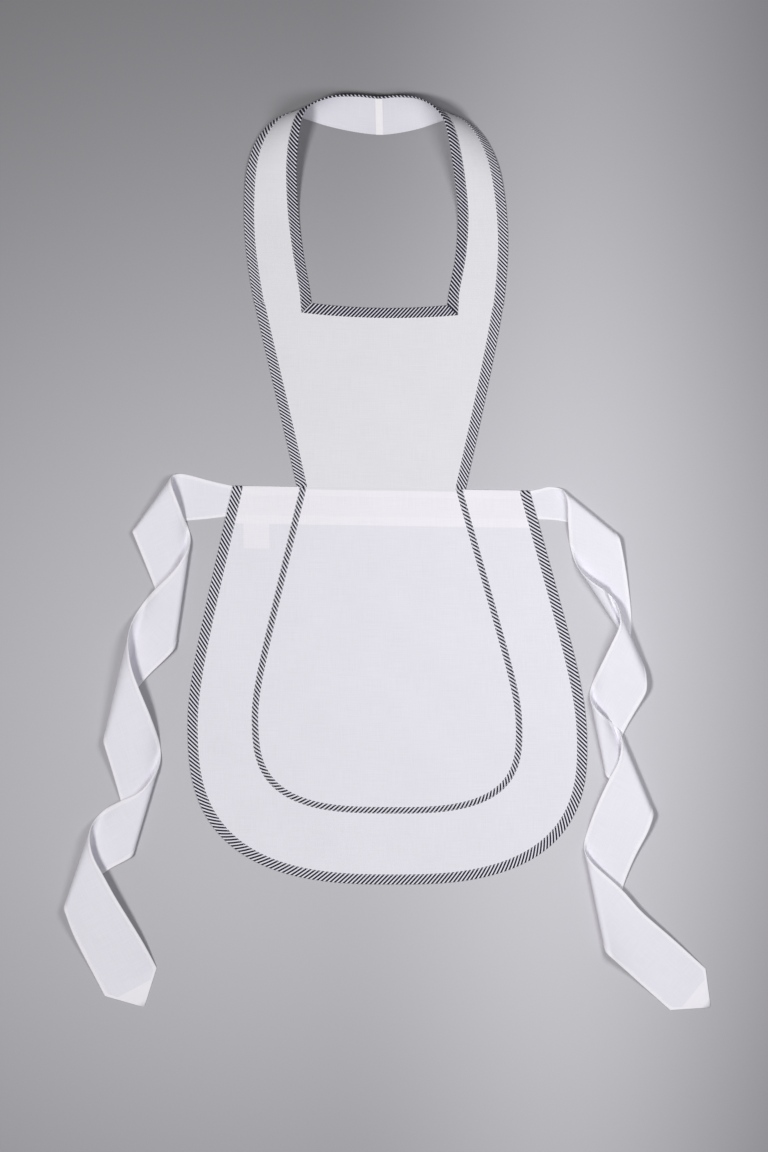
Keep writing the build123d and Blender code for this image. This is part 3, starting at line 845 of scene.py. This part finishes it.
# Selvages of each run from fold to fold: the upper one, then the lower one.
LEFT_RUNS = [
    ([(-184, 3), (-212, 9), (-257, 20), (-270, 12)], [(-190, -34), (-222, -38), (-262, -42), (-317, -54)]),
    ([(-270, 12), (-259, -16), (-250.5, -39), (-244.5, -52), (-243, -67)],
     [(-317, -54), (-288, -127), (-262, -199)]),
    ([(-243, -67), (-260, -99), (-289, -128), (-306, -147), (-319, -164), (-324, -180), (-324, -192)],
     [(-262, -199), (-272, -213), (-309, -251), (-354, -319)]),
    ([(-324, -192), (-319, -221), (-309, -250), (-294, -287), (-282, -323), (-280, -342)],
     [(-354, -319), (-332, -395), (-316, -465)]),
    ([(-280, -342), (-302, -380), (-332, -396), (-357, -409), (-369, -422), (-373, -439)],
     [(-316, -465), (-326, -472), (-354, -488), (-404, -531)]),
    ([(-373, -439), (-371, -451), (-364, -470), (-354, -488), (-337, -519), (-305, -572), (-286, -608)],
     [(-404, -531), (-389, -572), (-352, -644)]),
]
LEFT_TIP = (-302, -658)
RIGHT_FOLDS = [
    ((229, -1), (301, -60), 5.0, 5.0, 0.6, 0.6),
    ((245, -95), (315, -198), 9.5, 2.6, 0.6, 0.6),
    ((302, -156), (340, -246), 5.5, 7.5, 12.0, 1.6),
    ((262, -257), (284, -364), 8.0, 4.0, 0.6, 0.6),
    ((305, -316), (345, -411), 6.0, 7.5, 2.4, 0.6),
    ((256, -455), (283, -587), 6.0, 7.0, 0.6, 0.6),
]
RIGHT_RUNS = [
    ([(184, -3), (200, 0), (213, 3), (229, -1)], [(190, -38.6), (212, -39), (240, -43), (301, -60)]),
    ([(229, -1), (235, -15), (236, -43), (239, -76), (245, -95)],
     [(301, -60), (306, -83), (312, -119), (317, -165), (315, -198)]),
    ([(245, -95), (267, -119), (290, -134), (302, -156)], [(315, -198), (328, -220), (340, -246)]),
    ([(302, -156), (301, -174), (288, -202), (274, -231), (262, -257)],
     [(340, -246), (336, -257), (313, -297), (303, -318), (284, -364)]),
    ([(262, -257), (266, -274), (280, -287), (298, -302), (305, -316)],
     [(284, -364), (310, -384), (345, -411)]),
    ([(305, -316), (300, -345), (288, -368), (272, -403), (259, -439), (256, -455)],
     [(345, -411), (337, -436), (321, -467), (305, -508), (283, -587)]),
    ([(256, -455), (258, -464), (267, -475), (305, -509), (329, -536), (368, -570), (411, -609)],
     [(283, -587), (329, -629), (366, -662)]),
]
RIGHT_TIP = (417, -658)

PLEAT_AT, PLEAT_RISE = 12.5, 0.35   # the pleat's edge at the side seam, and its height
MIDDLE_COLS = 28        # columns across a tie between its hems
TIE_REST = 0.6          # height of the tie's middle where it lies on the surface
TIE_STEP = 4.5          # rows along a run are about this far apart
ROLL_TURNS = np.radians(np.arange(-75, 90, 15))     # rows round the roll of a fold
UPPER_FALL, LOWER_FALL = 2.2, 2.4       # how late a run's selvages come down from the fold before it
TIE_HALF, HEM_HALF, POINT_HALF = 0.24, 0.46, 0.44   # half thickness: one layer, hems, turned-in point


def crossing(curve, end, outward, radius):
    """Where a selvage comes within a radius of the fold line it runs to."""
    depth = (np.asarray(end, float) - curve) @ outward
    inside = np.nonzero(depth > radius)[0]
    i = inside[-1] if len(inside) else 0
    if i + 1 >= len(curve):
        return curve[:i + 1]
    t = np.clip((depth[i] - radius) / max(depth[i] - depth[i + 1], 1e-6), 0, 1)
    return np.vstack([curve[:i + 1], curve[i] + (curve[i + 1] - curve[i]) * t])


def tie_selvages(runs, folds, tip):
    """Rows of (upper point, lower point) along the tie, and how open its pleat is at each."""
    outward = []
    for number, fold in enumerate(folds):
        a, b = np.array(fold[0], float), np.array(fold[1], float)
        along = unit(b - a)
        out = np.array([along[1], -along[0]])
        before = (np.array(runs[number][0][0]) + runs[number][1][0]) / 2
        outward.append(out if out @ (a - before) > 0 else -out)
    pieces_xy = []
    for number, run in enumerate(runs):
        clipped = []
        for k in (0, 1):
            curve = resample(spline(run[k], 12), 1.0)[0]
            if number < len(folds):
                fold = folds[number]
                curve = crossing(curve, fold[k], outward[number], fold[2 + k])
            if number > 0:
                fold = folds[number - 1]
                curve = crossing(curve[::-1], fold[k], outward[number - 1], fold[2 + k])[::-1]
            clipped.append(curve)
        pieces_xy.append(clipped)
    rows, pleat, run_of = [], [], []
    height = [TIE_REST, TIE_REST]
    for number, run in enumerate(pieces_xy):
        longest = max(len(c) for c in run)
        steps = max(8, int(longest / TIE_STEP))
        t = np.linspace(0, 1, steps)
        target = [folds[number][4 + k] if number < len(folds) else TIE_REST for k in (0, 1)]
        ends = []
        for k in (0, 1):
            at = np.linspace(0, 1, len(run[k]))
            xy = np.stack([np.interp(t, at, run[k][:, d]) for d in (0, 1)], -1)
            fall = 1 - t ** UPPER_FALL if k == 0 else (1 - t) ** LOWER_FALL
            z = target[k] + (height[k] - target[k]) * fall
            ends.append(np.column_stack([xy, z]))
        rows += list(np.concatenate(ends, 1))
        pleat += list(1 - smooth(0.1, 0.9, t) if number == 0 else np.zeros(steps))
        run_of += [number] * steps
        if number < len(folds):
            after = pieces_xy[number + 1]
            for turn in ROLL_TURNS:
                row = []
                for k in (0, 1):
                    radius = folds[number][2 + k]
                    part = (math.degrees(turn) + 90) / 180
                    xy = run[k][-1] * (1 - part) + after[k][0] * part
                    xy = xy + outward[number] * radius * math.cos(turn)
                    row += [*xy, target[k] + radius * (1 + math.sin(turn))]
                rows.append(np.array(row))
                pleat.append(0.0)
                run_of.append(-1)
            height = [target[k] + 2 * folds[number][2 + k] for k in (0, 1)]
    last = rows[-1]
    for t in (0.25, 0.5, 0.75, 0.97):
        point = np.array([*tip, TIE_REST])
        rows.append(np.concatenate([last[:3] + (point - last[:3]) * t, last[3:] + (point - last[3:]) * t]))
        pleat.append(0.0)
        run_of.append(-1)
    rows = np.array(rows)
    for _ in range(3):
        rows[1:-5] = (rows[:-6] + 2 * rows[1:-5] + rows[2:-4]) / 4
    return rows, np.array(pleat), np.array(run_of)


def tie_columns(open_pleat, span):
    """Flat distance from the upper selvage, share of the way across as it lies, height of the pleat."""
    hem = [0, 1.0, HEM_W - 0.6, HEM_W]
    flat = np.array(hem + list(np.linspace(HEM_W, TIE_WIDTH - HEM_W, MIDDLE_COLS + 2)[1:-1])
                    + [TIE_WIDTH - x for x in reversed(hem)])
    plain = flat / TIE_WIDTH
    middle = HEM_W + (flat - HEM_W) * (span - 2 * HEM_W) / (TIE_WIDTH - 2 * HEM_W)
    far = np.where(flat >= TIE_WIDTH - HEM_W, span - (TIE_WIDTH - flat), middle)
    y = np.where(flat <= HEM_W, flat, far)
    gathered = y / span
    edge = PLEAT_AT + 13.5 * (1 - open_pleat)
    step = smooth(edge - 1, edge + 1, y) * (1 - smooth(edge + 8, edge + 22, y))
    c = gathered * open_pleat + plain * (1 - open_pleat)
    return flat, c, PLEAT_RISE * open_pleat * step


LAYER_GAP = 1.3         # the middle of a run stays this far over the run it lies on
LAYER_REACH = 6.0       # sideways reach of the test for that, and the most that a run is raised


def lift_over(points, run_of):
    """Raise each run where it would sink into one of the two runs before it."""
    for run in range(1, run_of.max() + 1):
        mine = np.nonzero(run_of == run)[0]
        under = points[(run_of >= 0) & (run_of < run) & (run_of >= run - 2)].reshape(-1, 3)
        lift = np.zeros((len(mine), points.shape[1]))
        for k, i in enumerate(mine):
            apart = np.linalg.norm(points[i][:, None, :2] - under[None, :, :2], axis=2)
            height = np.where(apart < LAYER_REACH, under[None, :, 2], -1.0).max(1)
            lift[k] = np.clip(height + LAYER_GAP - points[i][:, 2], 0, LAYER_REACH) * (height > 0)
        for _ in range(6):
            wide = np.pad(lift, 1, mode="edge")
            around = wide[:-2, 1:-1] + wide[2:, 1:-1] + wide[1:-1, :-2] + wide[1:-1, 2:]
            lift = np.maximum(lift, around / 4)
        points[mine, :, 2] += lift


def tie(name, side, runs, folds, tip):
    """The ribbon as a closed skin, thicker along its hems and at its turned-in point."""
    rows, pleat, run_of = tie_selvages(runs, folds, tip)
    upper, lower = rows[:, :3], rows[:, 3:]
    span = np.linalg.norm(lower - upper, axis=1)
    arc = [run_length(selvage) for selvage in (upper, lower)]
    points, uv, half, flats = [], [], [], []
    tail = len(rows) - 5
    for i in range(len(rows)):
        flat, c, layer = tie_columns(pleat[i], span[i])
        p = upper[i] + (lower[i] - upper[i]) * c[:, None]
        p[:, 2] += layer
        soft = np.sin(math.pi * c) * (0.5 + 0.5 * math.sin(i / 5.3 + side)) * 0.9
        p[:, 2] += soft * (1 - pleat[i])
        points.append(p)
        flats.append(flat)
        to_end = [length[i] - length[-1] for length in arc]
        uv.append(np.stack([to_end[0] * (1 - c) + to_end[1] * c, flat], -1))
        edge = np.minimum(flat, TIE_WIDTH - flat)
        thick = np.where(edge < HEM_W - 0.3, HEM_HALF, TIE_HALF) * np.where(edge < 0.5, 0.6, 1.0)
        half.append(np.full(len(flat), POINT_HALF) if i > tail + 1 else thick)
    points, half, uv = np.array(points), np.array(half), np.array(uv)
    lift_over(points, run_of)
    du, dv = np.gradient(points, axis=0), np.gradient(points, axis=1)
    normal = unit(np.cross(du, dv)) * -side
    for _ in range(2):
        normal[1:-1] = unit(normal[:-2] + 2 * normal[1:-1] + normal[2:])
    points[..., 2] = np.maximum(points[..., 2], 0.05 + half)
    count, cols = points.shape[:2]
    top, bottom = points + normal * half[..., None], points - normal * half[..., None]
    faces = grid_faces(count, cols)
    total = count * cols
    faces += [tuple(total + k for k in f[::-1]) for f in grid_faces(count, cols)]
    rim = ([(i, 0) for i in range(count)] + [(count - 1, j) for j in range(1, cols)]
           + [(i, cols - 1) for i in range(count - 2, -1, -1)] + [(0, j) for j in range(cols - 2, 0, -1)])
    for (i, j), (k, m) in zip(rim, rim[1:] + rim[:1]):
        a, b = i * cols + j, k * cols + m
        faces.append((b, a, total + a, total + b))
    made = new_object(name, np.concatenate([top, bottom]).reshape(-1, 3), faces,
                      np.concatenate([uv, uv]).reshape(-1, 2), TIE_COTTON)
    seams = []
    for j in (2, cols - 3):
        for way in (1, -1):
            line = points[3:tail, j] + normal[3:tail, j] * way * (half[3:tail, j, None] + 0.02)
            seams.append((line, normal[3:tail, j] * way))
    return made, stitches(name.replace("cloth", "stitching"), seams)


tie_left, tie_left_thread = tie("tie_left_cloth", -1, LEFT_RUNS, LEFT_FOLDS, LEFT_TIP)
tie_right, tie_right_thread = tie("tie_right_cloth", 1, RIGHT_RUNS, RIGHT_FOLDS, RIGHT_TIP)


def bends_up(piece):
    """Bake the bib piece's placement into its mesh."""
    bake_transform(piece)


for piece, node, slot in (
        (skirt, ["skirt_panel"], "outer_cotton"), (waistband, ["waistband_facing"], "lining_cotton"),
        (label, ["care_label"], "label_tape"), (hem_strip, ["skirt_hem_binding"], "striped_trim"),
        (inner_strip, ["skirt_inner_trim"], "striped_trim"), (skirt_thread, [], "outer_cotton")):
    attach(piece, "skirt")
    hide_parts(*node)

bib_parts = [(bib, ["bib_front", "strap_left", "strap_right"], "outer_cotton"),
             (bib_lining, ["bib_facing", "strap_facing_left", "strap_facing_right"], "lining_cotton"),
             (seam_tab, ["back_neck_seam"], "lining_cotton"), (bib_thread, [], "outer_cotton")]
trim_nodes = ["bib_binding_left", "neck_binding_left", "bib_binding_right", "neck_binding_right",
              "neckline_binding"]
bib_parts += [(piece, [node], "striped_trim") for piece, node in zip(bib_strips, trim_nodes)]
for piece, node, slot in bib_parts:
    bends_up(piece)
    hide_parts(*node)

for side, word, cloth, stitching in ((-1, "left", tie_left, tie_left_thread),
                                     (1, "right", tie_right, tie_right_thread)):
    for piece in (cloth, stitching):
        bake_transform(piece)
    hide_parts(f"tie_{word}", f"tie_{word}_root")

# ------------ camera, floor and light
FRAME_H = 1.463         # height of the picture on the floor
CAMERA_H = 8.0
CENTRE = (0.0025, -0.1105)
SENSOR_W = 36.0         # mm
FLOOR_HALF = 30.0
FLOOR_GAP = 0.0001      # the floor lies this far under the cloth
camera_data = bpy.data.cameras.new("Camera")
camera_data.sensor_width = SENSOR_W
camera_data.lens = SENSOR_W * CAMERA_H / FRAME_H
camera = linked("Camera", camera_data)
camera.location = (*CENTRE, CAMERA_H)
bpy.context.scene.camera = camera

floor_mesh = bpy.data.meshes.new("Floor")
floor_corners = [(x * FLOOR_HALF, y * FLOOR_HALF, 0) for x, y in ((-1, -1), (1, -1), (1, 1), (-1, 1))]
floor_mesh.from_pydata(floor_corners, [], [(0, 1, 2, 3)])
floor_mesh.materials.append(floor_paper())
floor = linked("Floor", floor_mesh)
floor.location.z = -FLOOR_GAP


def softbox(name, place, aim, size, power, colour):
    """A round area light at a place, turned towards its aim."""
    data = bpy.data.lights.new(name, "AREA")
    data.shape = "DISK"
    data.size = size
    data.energy = power
    data.color = colour
    obj = linked(name, data)
    obj.location = place
    obj.rotation_euler = (Vector(aim) - Vector(place)).to_track_quat("-Z", "Y").to_euler()


softbox("Key", (-2.7, -1.1, 6.2), (0.0, -0.1, 0), 1.5, 283, (1.0, 0.99, 0.985))
softbox("Fill", (0.75, 0.0, 1.4), (0.1, -0.1, 0), 0.8, 11.6, (0.97, 0.98, 1.0))
world = bpy.data.worlds.new("Studio")
world.use_nodes = True
background = world.node_tree.nodes["Background"]
background.inputs["Color"].default_value = (0.93, 0.95, 1.0, 1)
background.inputs["Strength"].default_value = 0.095
bpy.context.scene.world = world
bpy.context.scene.view_settings.view_transform = "Standard"
